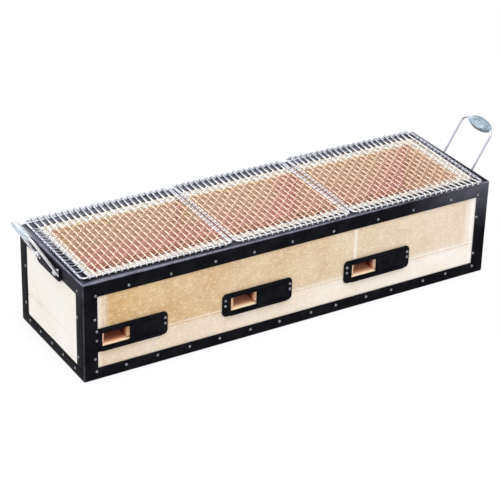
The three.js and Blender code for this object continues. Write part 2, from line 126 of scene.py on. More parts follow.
def make_camera():
    camera = bpy.data.objects.new("camera", bpy.data.cameras.new("camera"))
    bpy.context.scene.collection.objects.link(camera)
    camera.data.lens = CAMERA_LENS
    camera.data.sensor_width = 36
    camera.data.clip_end = 50
    turn = Matrix.Rotation(CAMERA_TURN, 4, "Z")
    tilt = Matrix.Rotation(CAMERA_TILT, 4, "X")
    roll = Matrix.Rotation(CAMERA_ROLL, 4, "Z")
    camera.matrix_world = Matrix.Translation(CAMERA_PLACE) @ turn @ tilt @ roll
    bpy.context.scene.camera = camera


def make_area_light(name, place, size, power):
    """A square soft light at place that faces the grill."""
    data = bpy.data.lights.new(name, "AREA")
    data.size = size
    data.energy = power
    light = bpy.data.objects.new(name, data)
    bpy.context.scene.collection.objects.link(light)
    light.location = place
    facing = Vector((0, 0, 0.1)) - Vector(place)
    light.rotation_euler = facing.to_track_quat("-Z", "Y").to_euler()


SKY = 0.95                 # strength of the white surroundings
FLOOR_GLOW = 0.84
KEY_POWER = 9              # watts
TOP_POWER = 60
BACK_POWER = 30


def make_studio():
    world = bpy.data.worlds.new("studio")
    world.use_nodes = True
    background = world.node_tree.nodes["Background"]
    background.inputs["Color"].default_value = (0.95, 0.97, 1.0, 1)
    background.inputs["Strength"].default_value = SKY
    bpy.context.scene.world = world
    bpy.context.scene.view_settings.view_transform = "Standard"

    make_area_light("key_left", (-2.3, 1.7, 1.6), 1.5, KEY_POWER)
    make_area_light("top_front", (-0.3, -1.0, 2.8), 1.6, TOP_POWER)
    make_area_light("back_low", (-0.3, 2.9, 1.3), 1.6, BACK_POWER)

    bpy.ops.mesh.primitive_plane_add(size=14, location=(0, 0, 0))
    floor = bpy.context.object
    floor.name = "floor"
    shader = Shader("floor", {"Base Color": (0.12, 0.12, 0.12, 1), "Roughness": 1.0,
                              "Specular IOR Level": 0.0})
    shader.put("Emission Color", (1, 1, 1, 1))
    shader.put("Emission Strength", FLOOR_GLOW)
    floor.data.materials.append(shader.material)


# ---------------------------------------- material helpers


class Shader:
    """A material with one principled surface, and short ways to add nodes to it."""

    def __init__(self, name, sockets):
        self.material = bpy.data.materials.new(name)
        self.material.use_nodes = True
        self.tree = self.material.node_tree
        self.surface = self.tree.nodes["Principled BSDF"]
        self.place = self.tree.nodes.new("ShaderNodeTexCoord").outputs["Object"]
        for socket, value in sockets.items():
            self.put(socket, value)

    def connect(self, socket, value):
        if isinstance(value, bpy.types.NodeSocket):
            self.tree.links.new(value, socket)
        else:
            socket.default_value = value

    def put(self, socket, value):
        self.connect(self.surface.inputs[socket], value)

    def add(self, kind, inputs, **settings):
        node = self.tree.nodes.new("ShaderNode" + kind)
        for name, value in settings.items():
            setattr(node, name, value)
        for key, value in inputs.items():
            self.connect(node.inputs[key], value)
        return node

    def stretched(self, stretch):
        mapping = self.add("Mapping", {"Vector": self.place, "Scale": stretch})
        return mapping.outputs["Vector"]

    def noise(self, scale, detail=3.0, roughness=0.55, stretch=(1, 1, 1)):
        inputs = {"Vector": self.stretched(stretch), "Scale": scale, "Detail": detail,
                  "Roughness": roughness}
        return self.add("TexNoise", inputs).outputs["Fac"]

    def cells(self, scale, stretch=(1, 1, 1)):
        inputs = {"Vector": self.stretched(stretch), "Scale": scale}
        return self.add("TexVoronoi", inputs, feature="F1").outputs["Distance"]

    def mask(self, name):
        return self.add("Attribute", {}, attribute_name=name).outputs["Fac"]

    def between(self, value, low, high, out_low=0.0, out_high=1.0):
        """Value from low..high to out_low..out_high, held at both ends."""
        inputs = {"Value": value, "From Min": low, "From Max": high,
                  "To Min": out_low, "To Max": out_high}
        return self.add("MapRange", inputs).outputs["Result"]

    def maths(self, operation, a, b):
        return self.add("Math", {0: a, 1: b}, operation=operation).outputs[0]

    def mix(self, factor, a, b, blend="MIX"):
        inputs = {0: factor, 6: colour4(a), 7: colour4(b)}
        return self.add("Mix", inputs, data_type="RGBA", blend_type=blend).outputs[2]

    def bump(self, height, strength, distance_mm, under=None):
        inputs = {"Height": height, "Strength": strength, "Distance": distance_mm * MM}
        if under is not None:
            inputs["Normal"] = under
        return self.add("Bump", inputs).outputs["Normal"]


def colour4(value):
    return (*value, 1) if isinstance(value, tuple) and len(value) == 3 else value


# ---------------------------------------- materials

TAN = (0.66, 0.455, 0.225)
TAN_DEEP = (0.57, 0.355, 0.155)
CREAM = (0.905, 0.875, 0.835)
CREAM_WARM = (0.875, 0.81, 0.73)
FLECK = (0.91, 0.77, 0.52)
INNER_TAN = (0.97, 0.88, 0.60)
INNER_DEEP = (0.95, 0.80, 0.52)
ROSE = (0.97, 0.48, 0.58)
FIRED = (0.78, 0.31, 0.16)
# painted shade deep in the air tunnels
DEEP_SHADE = (0.15, 0.014, 0.01)

PAINT = (0.0045, 0.0046, 0.0062)
PAINT_DULL = (0.0085, 0.0085, 0.011)
# The first is a painted reflection of the bright surroundings on the upper faces, the second a painted
# highlight along the bends.
PAINT_SHEEN = (0.175, 0.175, 0.215)
PAINT_HIGHLIGHT = (0.27, 0.27, 0.34)


def make_diatomite():
    """Sawn and fired diatomite. The meshes say where it is pale, rose or fired red, and where painted
    shade darkens the tunnels.
    """
    shader = Shader("diatomite", {"Roughness": 0.93, "Specular IOR Level": 0.2})
    cloud = shader.noise(16, detail=4)
    mottle = shader.noise(60, detail=3)
    grain = shader.noise(230, detail=5, roughness=0.7, stretch=(0.75, 1, 1))
    flakes = shader.cells(150, stretch=(0.7, 1, 1.25))
    pores = shader.cells(620)
    pale_mask = shader.mask("pale")

    patchy = shader.maths("ADD", shader.maths("MULTIPLY", cloud, 0.5),
                          shader.maths("MULTIPLY", mottle, 0.5))
    tan = shader.mix(shader.between(patchy, 0.38, 0.6), TAN_DEEP, TAN)
    tan = shader.mix(shader.between(flakes, 0.04, 0.42, 0.5, 0), tan, FLECK)
    cream = shader.mix(shader.between(cloud, 0.35, 0.7), CREAM_WARM, CREAM)
    colour = shader.mix(pale_mask, tan, cream)
    inner = shader.mix(shader.between(cloud, 0.35, 0.65), INNER_DEEP, INNER_TAN)
    colour = shader.mix(shader.mask("inner"), colour, inner)
    colour = shader.mix(shader.mask("rose"), colour, ROSE)
    colour = shader.mix(shader.mask("fired"), colour, FIRED)
    # Painted shade deep in the tunnels.
    colour = shader.mix(shader.mask("tunnel_shade"), colour, DEEP_SHADE)
    shade = shader.between(grain, 0.3, 0.75, 0.82, 1.08)
    coarse = shader.between(pale_mask, 0.3, 1.0, 1.0, 0.3)
    colour = shader.mix(coarse, colour, shader.mix(1.0, colour, shade, "MULTIPLY"))
    pits = shader.between(pores, 0.0, 0.32, 0.88, 1.0)
    colour = shader.mix(1.0, colour, pits, "MULTIPLY")
    shader.put("Base Color", colour)

    pore_depth = shader.between(pores, 0.0, 0.35)
    rough = shader.bump(grain, shader.between(pale_mask, 0.4, 1.0, 0.55, 0.2), 0.5)
    shader.put("Normal", shader.bump(pore_depth, 0.3, 0.35, rough))
    return shader.material


def make_black_paint():
    """Black enamel on sheet steel: faint orange peel, a painted highlight along the outer bends, and a
    painted reflection of the bright surroundings on the upper faces.
    """
    shader = Shader("black_paint", {"Specular IOR Level": 0.01})
    dust = shader.noise(45, detail=6, roughness=0.65)
    peel = shader.noise(520, detail=2)
    patches = shader.between(dust, 0.42, 0.62)
    # A painted highlight along the bends and a painted reflection of the bright surroundings on the
    # upper faces, both patchy.
    highlight = shader.maths("MULTIPLY", shader.mask("bend_highlight"), shader.between(dust, 0.38, 0.6, 0.35, 1))
    sheen = shader.maths("MULTIPLY", shader.mask("sheen"), shader.between(dust, 0.35, 0.65, 0.7, 1))
    colour = shader.mix(patches, PAINT, PAINT_DULL)
    colour = shader.mix(sheen, colour, PAINT_SHEEN)
    shader.put("Base Color", shader.mix(highlight, colour, PAINT_HIGHLIGHT))
    shader.put("Roughness", shader.between(dust, 0.3, 0.75, 0.2, 0.36))
    shader.put("Metallic", shader.between(highlight, 0, 1, 0, 0.2))
    shader.put("Normal", shader.bump(peel, 0.12, 0.15))
    return shader.material


def make_metal(name, colour, shade, roughness, grain_scale, depth_mm=0.08):
    """Bare or plated steel with cloudy brightness and a fine grain."""
    shader = Shader(name, {"Metallic": 1.0})
    cloud = shader.noise(70, detail=4)
    grain = shader.noise(grain_scale, detail=3)
    mixed = shader.mix(shader.between(cloud, 0.35, 0.68), shade, colour)
    shader.put("Base Color", mixed)
    shader.put("Roughness", shader.between(grain, 0.3, 0.7, roughness, roughness + 0.14))
    shader.put("Normal", shader.bump(grain, 0.3, depth_mm))
    return shader.material


def make_net_metal(name, cold, heated, smoked):
    """Zinc-plated wire that the fire has tinted where it lies over the charcoal."""
    shader = Shader(name, {"Metallic": 1.0})
    cloud = shader.noise(90, detail=4)
    grain = shader.noise(1200, detail=3)
    patches = shader.between(cloud, 0.35, 0.68, 0.84, 1.0)
    colour = shader.mix(shader.mask("heated"), cold, heated)
    colour = shader.mix(shader.mask("smoked"), colour, smoked)
    shader.put("Base Color", shader.mix(1.0, colour, patches, "MULTIPLY"))
    shader.put("Roughness", shader.between(grain, 0.3, 0.7, 0.34, 0.5))
    shader.put("Normal", shader.bump(grain, 0.3, 0.08))
    return shader.material


def make_cast_iron():
    """Rusty cast iron with ash in its pits."""
    shader = Shader("cast_iron", {"Metallic": 0.15, "Specular IOR Level": 0.3})
    rust = shader.noise(60, detail=6, roughness=0.7)
    skin = shader.noise(420, detail=4)
    colour = shader.mix(shader.between(rust, 0.35, 0.62), (0.20, 0.08, 0.06), (0.46, 0.18, 0.12))
    colour = shader.mix(shader.between(skin, 0.45, 0.7, 0.1, 0.7), colour, (0.66, 0.47, 0.40))
    shader.put("Base Color", colour)
    shader.put("Roughness", shader.between(skin, 0.3, 0.7, 0.6, 0.9))
    shader.put("Normal", shader.bump(skin, 0.7, 0.5))
    return shader.material


# ---------------------------------------- mesh helpers


def smoothstep(low, high, value):
    t = min(max((value - low) / (high - low), 0.0), 1.0)
    return t * t * (3 - 2 * t)


def lumps(point, size_mm, seed=0.0):
    """Smooth noise from -1 to 1 whose lumps are about size_mm across, at a point in millimetres."""
    return noise.noise(Vector(point) / size_mm + Vector((seed, seed * 0.7, -seed)))


class Shape:
    """Vertices in millimetres and faces, gathered from several solids."""

    def __init__(self):
        self.points = []
        self.faces = []

    def add(self, points, faces):
        start = len(self.points)
        self.points.extend(points)
        self.faces.extend([start + i for i in face] for face in faces)

    def loft(self, rings, closed=False):
        """A skin over rings of equal length, capped at both ends or closed on itself."""
        size = len(rings[0])
        count = len(rings)
        points = [tuple(point) for ring in rings for point in ring]
        faces = []
        for i in range(count if closed else count - 1):
            here, there = i * size, (i + 1) % count * size
            for k in range(size):
                after = (k + 1) % size
                faces.append([here + k, here + after, there + after, there + k])
        if not closed:
            faces.append(list(range(size))[::-1])
            faces.append(list(range((count - 1) * size, count * size)))
        self.add(points, faces)

    def tube(self, path, side, radius, sections, closed=False, flat=1.0):
        """A wire along a path in the plane square to side, flat times wider along side."""
        path = np.array(path, float)
        side = np.array(side, float)
        if closed:
            tangents = np.roll(path, -1, 0) - np.roll(path, 1, 0)
        else:
            tangents = np.gradient(path, axis=0)
        tangents /= np.linalg.norm(tangents, axis=1, keepdims=True)
        across = np.cross(tangents, side)
        turns = [2 * math.pi * k / sections for k in range(sections)]
        spread = [radius] * len(path)
        if not closed:
            round_end = radius * 0.5
            path = np.vstack([path[:1] - tangents[:1] * round_end, path,
                              path[-1:] + tangents[-1:] * round_end])
            across = np.vstack([across[:1], across, across[-1:]])
            spread = [radius * 0.55, *spread, radius * 0.55]
        rings = [[p + r * (flat * math.cos(a) * side + math.sin(a) * c) for a in turns]
                 for p, c, r in zip(path, across, spread)]
        self.loft(rings, closed)


def make_piece(name, shape, material, body, replaces=(), sharp=CREASE):
    """A finished object from a Shape. Edges sharper than that many degrees stay crisp."""
    mesh = bpy.data.meshes.new(name)
    mesh.from_pydata([Vector(point) * MM for point in shape.points], [], shape.faces)
    mesh.validate()
    return finish_piece(name, mesh, material, body, replaces, sharp)


def finish_piece(name, mesh, material, body, replaces=(), sharp=CREASE):
    mesh.materials.clear()
    mesh.materials.append(material)
    mesh.shade_smooth()
    mesh.set_sharp_from_angle(angle=math.radians(sharp))
    piece = bpy.data.objects.new(name, mesh)
    bpy.context.scene.collection.objects.link(piece)
    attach(piece, body)
    if replaces:
        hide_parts(*replaces)
    return piece


def with_modifier(mesh, kind, **settings):
    """A new mesh: the old one after one modifier."""
    carrier = bpy.data.objects.new("carrier", mesh)
    bpy.context.scene.collection.objects.link(carrier)
    modifier = carrier.modifiers.new("shape", kind)
    for name, value in settings.items():
        setattr(modifier, name, value)
    graph = bpy.context.evaluated_depsgraph_get()
    result = bpy.data.meshes.new_from_object(carrier.evaluated_get(graph))
    bpy.data.objects.remove(carrier)
    return result


def cad_copy(node, clean=True):
    """A copy of a CAD node's mesh with welded corners and, if clean, whole flat faces."""
    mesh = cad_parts[node].data.copy()
    editor = bmesh.new()
    editor.from_mesh(mesh)
    bmesh.ops.remove_doubles(editor, verts=editor.verts, dist=0.02 * MM)
    if clean:
        bmesh.ops.dissolve_limit(editor, angle_limit=math.radians(1.5), verts=editor.verts,
                                 edges=editor.edges)
    editor.to_mesh(mesh)
    editor.free()
    return mesh


def softened(node, name, material, body="box", width_mm=0.3):
    """A CAD node with its edges rounded, standing for the plain node."""
    mesh = with_modifier(cad_copy(node), "BEVEL", width=width_mm * MM, segments=2,
                         limit_method="ANGLE", angle_limit=math.radians(32),
                         use_clamp_overlap=True)
    return finish_piece(name, mesh, material, body, [node])


def mark(mesh, name, value_at):
    """Stores value_at(point in millimetres, normal) on every vertex, for the materials."""
    attribute = mesh.attributes.new(name, "FLOAT", "POINT")
    values = [value_at(vertex.co / MM, vertex.normal) for vertex in mesh.vertices]
    attribute.data.foreach_set("value", values)


# ---------------------------------------- diatomite body

FRAME_LOW, FRAME_HIGH = box_mm("top_angle_front")
HALF_X = FRAME_HIGH.x
HALF_Y = -FRAME_LOW.y
FRAME_TOP = FRAME_HIGH.z

BASE_LOW, BASE_HIGH = box_mm("base_slab")
BLOCK_LOW, BLOCK_HIGH = box_mm("front_block_1")
BACK_LOW = box_mm("back_block_1")[0]
FLOOR_LEVEL = BASE_HIGH.z            # top of the base course
WALL_TOP = BLOCK_HIGH.z
FACE_Y = BASE_LOW.y                  # outer face of the front wall
BLOCK_PITCH = box_mm("front_block_2")[0].x - BLOCK_LOW.x
TUNNEL_TOP = 86
TUNNEL_WIDTH = 39.5
TUNNEL_SEAM = 6                      # how far the firing spreads into the joints beside a tunnel
LAST_JOINT = 10                      # the firing stays this far from the joint without a tunnel
TONE_REACH = 290                     # the tones drift over this much of each half
FIRE_EDGE = 12                       # how far the fire's tones reach into a wall


def roughened(node, voxel):
    """A CAD block with sawn faces and chipped edges. Every point moves inwards only."""
    mesh = with_modifier(cad_copy(node, clean=False), "REMESH", mode="VOXEL",
                         voxel_size=voxel * MM)
    seed = random.uniform(0, 40)
    moves = []
    for vertex in mesh.vertices:
        point = vertex.co / MM
        normal = vertex.normal
        edge = smoothstep(0.03, 0.3, 1 - max(abs(c) for c in normal))
        drift = SAW_DRIFT * (0.5 + 0.5 * lumps(point, 38, seed))
        chips = max(0.0, lumps(point, 9, seed) + 0.45 * lumps(point, 3.6, seed) - 0.12)
        moves.append(normal * (drift + CHIP * edge * chips) * MM)
    for vertex, move in zip(mesh.vertices, moves):
        vertex.co -= move
    mesh.update()
    return mesh


def rose_stain(point):
    """How pink the inner faces are fired: at the foot of each block and near its ends, most of
    all the right one."""
    along = ((point.x - BLOCK_LOW.x) / BLOCK_PITCH) % 1.0
    up = (point.z - FLOOR_LEVEL) / (WALL_TOP - FLOOR_LEVEL)
    wander = 0.12 * lumps(point, 45) + 0.05 * lumps(point, 14)
    foot = smoothstep(0.78, 0.3, up + wander)
    flank = smoothstep(-0.16, 0.1, along - 0.62 - 0.34 * up + wander)
    left_flank = smoothstep(0.08, 0.0, along + wander * 0.5)
    strength = 0.86 - 0.3 * smoothstep(-150, 200, point.x)
    flank *= 0.35 + 0.6 * smoothstep(-110, 0, point.x)
    return min(1.0, max(strength * foot, flank, 0.75 * left_flank))


def in_tunnel(point):
    """How deep a point lies in an air tunnel, from 0.3 at its mouth to 1. It is 0 elsewhere."""
    if not FLOOR_LEVEL - 4 < point.z < TUNNEL_TOP + 2 or point.y > BLOCK_HIGH.y:
        return 0.0
    along = (point.x - BLOCK_LOW.x) % BLOCK_PITCH
    beside = min(along, BLOCK_PITCH - along)
    if min(beside, along - TUNNEL_WIDTH) > TUNNEL_SEAM or point.x > -BLOCK_LOW.x - LAST_JOINT:
        return 0.0
    return 0.3 + 0.7 * smoothstep(0.5, 7, point.y - FACE_Y)


def painted_tunnel_shade(point, normal):
    """Painted shade that darkens the tunnels away from the opening, their sides more than their floors,
    and the first tunnel's floor more than the others.
    """
    if in_tunnel(point) <= 0:
        return 0.0
    inward = point.y - FACE_Y
    if normal.z > FACING:
        first_floor = 0.42 if point.x < BLOCK_LOW.x + BLOCK_PITCH / 2 else 0.0
        return first_floor * smoothstep(4, 16, inward) + 0.5 * smoothstep(22, 52, inward)
    return smoothstep(2, 12, inward + 6 * smoothstep(FLOOR_LEVEL, TUNNEL_TOP, point.z) - 3)


def paleness(point):
    """The outer faces of the front and back walls are paler towards +X and at their ends."""
    ends = smoothstep(11, 0, -BLOCK_LOW.x - abs(point.x) + 2 * lumps(point, 18))
    return 0.26 + 0.21 * point.x / TONE_REACH + 0.06 * lumps(point, 50) + 0.3 * ends


def side_block_tones(front):
    """The tones of one block of the front or back wall."""

    def on_top(point, normal):
        return normal.z > FACING and point.z > WALL_TOP - 4

    def pale(point, normal):
        if on_top(point, normal):
            return 0.85
        outer = (point.y < FACE_Y + 3) if front else (point.y > -FACE_Y - 3)
        if not outer:
            return 0.15
        height = point.z - FLOOR_LEVEL + 4 * lumps(point, 26) + 2 * lumps(point, 9)
        return min(1.0, paleness(point) + 0.3 * smoothstep(8, 0, height))

    def rose(point, normal):
        near_fire = abs(point.y) < BACK_LOW.y + FIRE_EDGE
        return rose_stain(point) if near_fire and not on_top(point, normal) else 0.0

    def fired(point, normal):
        return in_tunnel(point) if front else 0.0

    def inner(point, normal):
        toward_fire = (normal.y > 0.5) if front else (normal.y < -0.5)
        newer = 0.78 + 0.22 * smoothstep(-220, -20, point.x)
        return newer if toward_fire and in_chamber(point) else 0.0

    # The last tone is painted shade deep in the tunnels, on the front wall only.
    return {"pale": pale, "inner": inner, "rose": rose, "fired": fired,
            "tunnel_shade": painted_tunnel_shade if front else no_tone}


def in_chamber(point):
    """Whether a point lies on a face of the fire chamber or the ash chamber."""
    return abs(point.y) < BACK_LOW.y + FIRE_EDGE and abs(point.x) < -BLOCK_LOW.x + FIRE_EDGE


def no_tone(point, normal):
    return 0.0


def course_paleness(point, normal):
    """The base course and the end walls: cream at the ends, a little straw-coloured at the front
    and the back."""
    if abs(normal.x) > FACING:
        return 1.0
    if abs(normal.y) > FACING:
        depth = FLOOR_LEVEL - point.z + 4 * lumps(point, 26) + 2 * lumps(point, 9)
        straw = 0.2 * smoothstep(9, 1, depth) if point.z < FLOOR_LEVEL + 2 else 0.0
        beside_post = 0.32 * smoothstep(HALF_X - 37, HALF_X - 27, abs(point.x))
        cream = 0.68 + 0.2 * point.x / TONE_REACH + 0.08 * lumps(point, 60)
        return min(1.0, cream - straw + beside_post)
    return 0.9


def slab_tones():
    """The base course is pale outside, rose in the ash chamber and fired in the tunnels."""

    def inside(point, normal):
        return normal.z > FACING and point.z > FLOOR_LEVEL - 3

    def rose(point, normal):
        chamber = abs(point.y) < BACK_LOW.y and abs(point.x) < -BLOCK_LOW.x
        return 0.7 if inside(point, normal) and chamber else 0.0

    def inner(point, normal):
        return 1.0 if in_tunnel(point) > 0 else 0.0

    def fired(point, normal):
        newest = 0.82 if point.x > BLOCK_LOW.x + BLOCK_PITCH / 2 else 1.0
        return newest * in_tunnel(point)

    # Painted shade on the tunnel floors.
    def tunnel_shade(point, normal):
        return painted_tunnel_shade(point, normal) if inside(point, normal) else 0.0

    return {"pale": course_paleness, "inner": inner, "rose": rose, "fired": fired, "tunnel_shade": tunnel_shade}


def end_wall_tones(side):
    """An end wall is cream outside and straw-coloured towards the fire."""

    def toward_fire(normal):
        return normal.x * side < -FACING

    def pale(point, normal):
        return 0.5 if toward_fire(normal) else course_paleness(point, normal)

    def rose(point, normal):
        low = smoothstep(0.45, 0.0, (point.z - FLOOR_LEVEL) / (WALL_TOP - FLOOR_LEVEL))
        return 0.1 * low if toward_fire(normal) else 0.0

    def inner(point, normal):
        return 0.7 if toward_fire(normal) else 0.0

    def fired(point, normal):
        return in_tunnel(point) if point.y < FACE_Y + 4 else 0.0

    return {"pale": pale, "inner": inner, "rose": rose, "fired": fired, "tunnel_shade": no_tone}


def make_block(node, name, voxel, tones, material):
    mesh = roughened(node, voxel)
    for tone, value_at in tones.items():
        mark(mesh, tone, value_at)
    finish_piece(name, mesh, material, "box", [node], sharp=180)


def make_mortar(material):
    """Thin beds of mortar, wiped flush, that fill the joints between the blocks."""
    outer_x = BASE_HIGH.x
    outer_y = -FACE_Y
    seams = [BLOCK_LOW.x + BLOCK_PITCH * i for i in range(4)]

    def bed(shape, start, end, outward, width, rise=0.08):
        start, end, outward = Vector(start), Vector(end), Vector(outward)
        along = (end - start).normalized()
        across = outward.cross(along)
        count = max(int((end - start).length / 5), 2)
        rings = []
        for i in range(count + 1):
            middle = start.lerp(end, i / count)
            left = width * (0.5 + 0.2 * lumps(middle, 13, 3))
            right = width * (0.5 + 0.2 * lumps(middle, 13, 8))
            top = rise * (1 + 0.5 * lumps(middle, 7))
            section = [(-left, -0.7), (0, -2), (right, -0.7), (right * 0.55, top * 0.8),
                       (0, top), (-left * 0.55, top * 0.8)]
            rings.append([middle + across * u + outward * h for u, h in section])
        shape.loft(rings)

    def seam_beds(seam, width):
        """The upright joints of both long walls at one place, and the same joints on their tops."""
        shape = Shape()
        for side in (-1, 1):
            foot = TUNNEL_TOP + 5 if side < 0 and seam < seams[-1] else FLOOR_LEVEL
            bed(shape, (seam, side * outer_y, foot), (seam, side * outer_y, WALL_TOP - 4),
                (0, side, 0), width)
            bed(shape, (seam, side * (outer_y - 5), WALL_TOP),
                (seam, side * (-BLOCK_HIGH.y + 2), WALL_TOP), (0, 0, 1), 3)
        return shape

    def finish_beds(name, shape, pale):
        piece = make_piece(name, shape, material, "box", sharp=60)
        mark(piece.data, "pale", pale)

    widths = (4, 5, 6.5, 5)
    tones = (0.45, 0.3, 0.72, 0.8)
    for index, (seam, width, tone) in enumerate(zip(seams, widths, tones)):
        finish_beds(f"mortar_upright_{index + 1}", seam_beds(seam, width),
                    lambda point, normal: tone)

    shape = Shape()
    ends = zip([-outer_x + 4] + [s + TUNNEL_WIDTH + 10 for s in seams[:3]],
               [s - 10 for s in seams[:3]] + [outer_x - 4])
    for start, end in ends:
        bed(shape, (start, -outer_y, FLOOR_LEVEL), (end, -outer_y, FLOOR_LEVEL), (0, -1, 0), 5,
            rise=0.04)
    bed(shape, (-outer_x + 4, outer_y, FLOOR_LEVEL), (outer_x - 4, outer_y, FLOOR_LEVEL),
        (0, 1, 0), 5, rise=0.04)
    for side in (-1, 1):
        bed(shape, (side * outer_x, -outer_y + 5, FLOOR_LEVEL),
            (side * outer_x, outer_y - 5, FLOOR_LEVEL), (side, 0, 0), 4, rise=0.04)
    finish_beds("mortar_level", shape, course_paleness)


def make_diatomite_body(material):
    for index in range(3):
        for side in ("front", "back"):
            node = f"{side}_block_{index + 1}"
            tones = side_block_tones(side == "front")
            make_block(node, f"{side}_wall_block_{index + 1}", BLOCK_VOXEL, tones, material)
    make_block("base_slab", "base_course", SLAB_VOXEL, slab_tones(), material)
    for side, place in ((-1, "left"), (1, "right")):
        make_block(f"end_wall_{place}", f"{place}_end_block", BLOCK_VOXEL, end_wall_tones(side),
                   material)
    make_mortar(material)


# ---------------------------------------- steel angles

FLANGE_STEPS = 13                    # across the flat leg of an angle


def arc(centre, radius, start, end, steps):
    """Points on a circle from start to end degrees."""
    turns = [math.radians(start + (end - start) * i / steps) for i in range(steps + 1)]
    return [(centre[0] + radius * math.cos(a), centre[1] + radius * math.sin(a)) for a in turns]


def angle_section(leg_u, leg_v):
    """The L section: legs along +u and +v from an outer corner at the origin, with round lips."""
    lip = STEEL / 2
    bend = (BEND, BEND)
    points = arc(bend, BEND, 180, 270, 7)
    points += [(leg_u * step / FLANGE_STEPS, 0) for step in range(3, FLANGE_STEPS)]
    points += arc((leg_u - lip, lip), lip, -90, 90, 5)
    points += arc(bend, BEND - STEEL, 270, 180, 4)
    points += arc((lip, leg_v - lip), lip, 0, 180, 5)
    points += [(0, leg_v * share) for share in (0.65, 0.35)]
    return points


def painted_bend_highlight(point, normal):
    """A painted highlight along the outer bends, where two of the frame's outer faces meet, strongest
    round the top."""
    gaps = sorted((HALF_X - abs(point.x), HALF_Y - abs(point.y), min(FRAME_TOP - point.z, point.z)))
    highlight_strength = 1.0 if point.z > FRAME_TOP - BEND else 0.3
    return highlight_strength * smoothstep(BEND * 0.9, 0.4, gaps[1])


def outside_nets(point):
    """How far a point of the top is from the nearest net. Under a net it is negative."""
    gaps = []
    for place, turn in NET_TURNS.items():
        middle, half_x, half_y = net_sizes(place)
        off_x, off_y = point.x - middle.x, point.y - middle.y
        c, s = math.cos(math.radians(turn)), math.sin(math.radians(turn))
        along, across = c * off_x + s * off_y, c * off_y - s * off_x
        gaps.append(max(abs(along) - half_x, abs(across) - half_y))
    return min(gaps)


def painted_sheen(point, normal):
    """A painted reflection of the bright surroundings on the upper faces, weaker under the front of the
    nets as painted shadow and almost none at the far right end, and a fainter one at the front's right
    corner and along the top of the left end.
    """
    lies = smoothstep(0.55, 0.95, normal.z) * smoothstep(FRAME_TOP - 8, FRAME_TOP - 2, point.z)
    if lies > 0:
        under_net = 0.12 + 0.3 * smoothstep(-130, -100, point.x) if point.y < 0 else 1.0
        open_level = 1 - 0.95 * smoothstep(HALF_X - 20, HALF_X - 12, point.x)
        return lies * (under_net + (open_level - under_net) * smoothstep(-0.5, 3.5, outside_nets(point)))
    corner = smoothstep(200, HALF_X, point.x) * smoothstep(90, FRAME_TOP, point.z)
    if normal.y < -FACING:
        return 0.55 * corner
    band = smoothstep(FRAME_TOP - 30, FRAME_TOP - 24, point.z)
    return 0.14 * band if normal.x < -FACING else 0.0


def rail_stations(half_along):
    """Places along one side of the frame, from the middle of one corner to the next: each is an
    angle round the corner and a place on the straight."""
    count = int(2 * half_along / RAIL_STEP)
    straight = [(-half_along + BEND) + (2 * half_along - 2 * BEND) * i / count
                for i in range(count + 1)]
    corner_in = [(turn, straight[0]) for turn in (-135, -120, -105)]
    corner_out = [(turn, straight[-1]) for turn in (-75, -60, -45)]
    return corner_in + [(-90, place) for place in straight] + corner_out


def rail_point(turn, place, inset, half_along, half_across):
    """A point of the rail at a station, that far in from the outer face."""
    if turn == -90:
        reach = half_along - inset
        return min(max(place, -reach), reach), inset - half_across
    side = -1 if turn < -90 else 1
    if inset >= BEND:
        return side * (half_along - inset), inset - half_across
    centre = (side * (half_along - BEND), BEND - half_across)
    radians = math.radians(turn)
    return (centre[0] + (BEND - inset) * math.cos(radians),
            centre[1] + (BEND - inset) * math.sin(radians))


def make_rail(node, name, quarter_turns, top, material):
    """One of the level angles. The front one is turned about the middle to make the others."""
    low, high = box_mm(node)
    along_x = quarter_turns % 2 == 0
    half_along, half_across = (HALF_X, HALF_Y) if along_x else (HALF_Y, HALF_X)
    band = high.z - low.z
    flange = (high.y - low.y) if along_x else (high.x - low.x)
    turn = Matrix.Rotation(math.radians(90 * quarter_turns), 3, "Z")
    shape = Shape()
    rings = []
    for bend, place in rail_stations(half_along):
        ring = []
        for inset, down in angle_section(flange, band):
            x, y = rail_point(bend, place, inset, half_along, half_across)
            z = high.z - down if top else low.z + down
            calm = smoothstep(half_along, half_along - 30, abs(place))
            dent = RIPPLE * calm * (0.5 + 0.5 * lumps((x, y, z), 90, 5 * quarter_turns))
            ring.append(turn @ Vector((x, y + dent, z)))
        rings.append(ring if top else ring[::-1])
    shape.loft(rings)
    finish_angle(node, name, shape, material)


def finish_angle(node, name, shape, material):
    piece = make_piece(name, shape, material, "box", [node])
    bmesh_clean(piece.data)
    # A painted highlight on the bends and a painted reflection, with painted shadow beside the nets, on
    # the upper faces.
    mark(piece.data, "bend_highlight", painted_bend_highlight)
    mark(piece.data, "sheen", painted_sheen)


def bmesh_clean(mesh):
    """Welds coinciding points and faces every face outwards."""
    editor = bmesh.new()
    editor.from_mesh(mesh)
    bmesh.ops.remove_doubles(editor, verts=editor.verts, dist=0.01 * MM)
    bmesh.ops.recalc_face_normals(editor, faces=editor.faces)
    editor.to_mesh(mesh)
    editor.free()
    mesh.set_sharp_from_angle(angle=math.radians(CREASE))


def make_post(node, name, side_x, side_y, material):
    low, high = box_mm(node)
    width = high.x - low.x
    count = int((high.z - low.z) / RAIL_STEP)
    rings = []
    for i in range(count + 1):
        z = low.z + (high.z - low.z) * i / count
        ring = []
        for u, v in angle_section(width, width):
            dent = RIPPLE * 0.5 * (1 + lumps((u * side_x, v * side_y, z), 60, 2))
            point = Vector((side_x * (HALF_X - u), side_y * (HALF_Y - v), z))
            point.x -= side_x * (dent if u < STEEL else 0)
            point.y -= side_y * (dent if v < STEEL else 0)
            ring.append(point)
        rings.append(ring)
    shape = Shape()
    shape.loft(rings)
    finish_angle(node, name, shape, material)


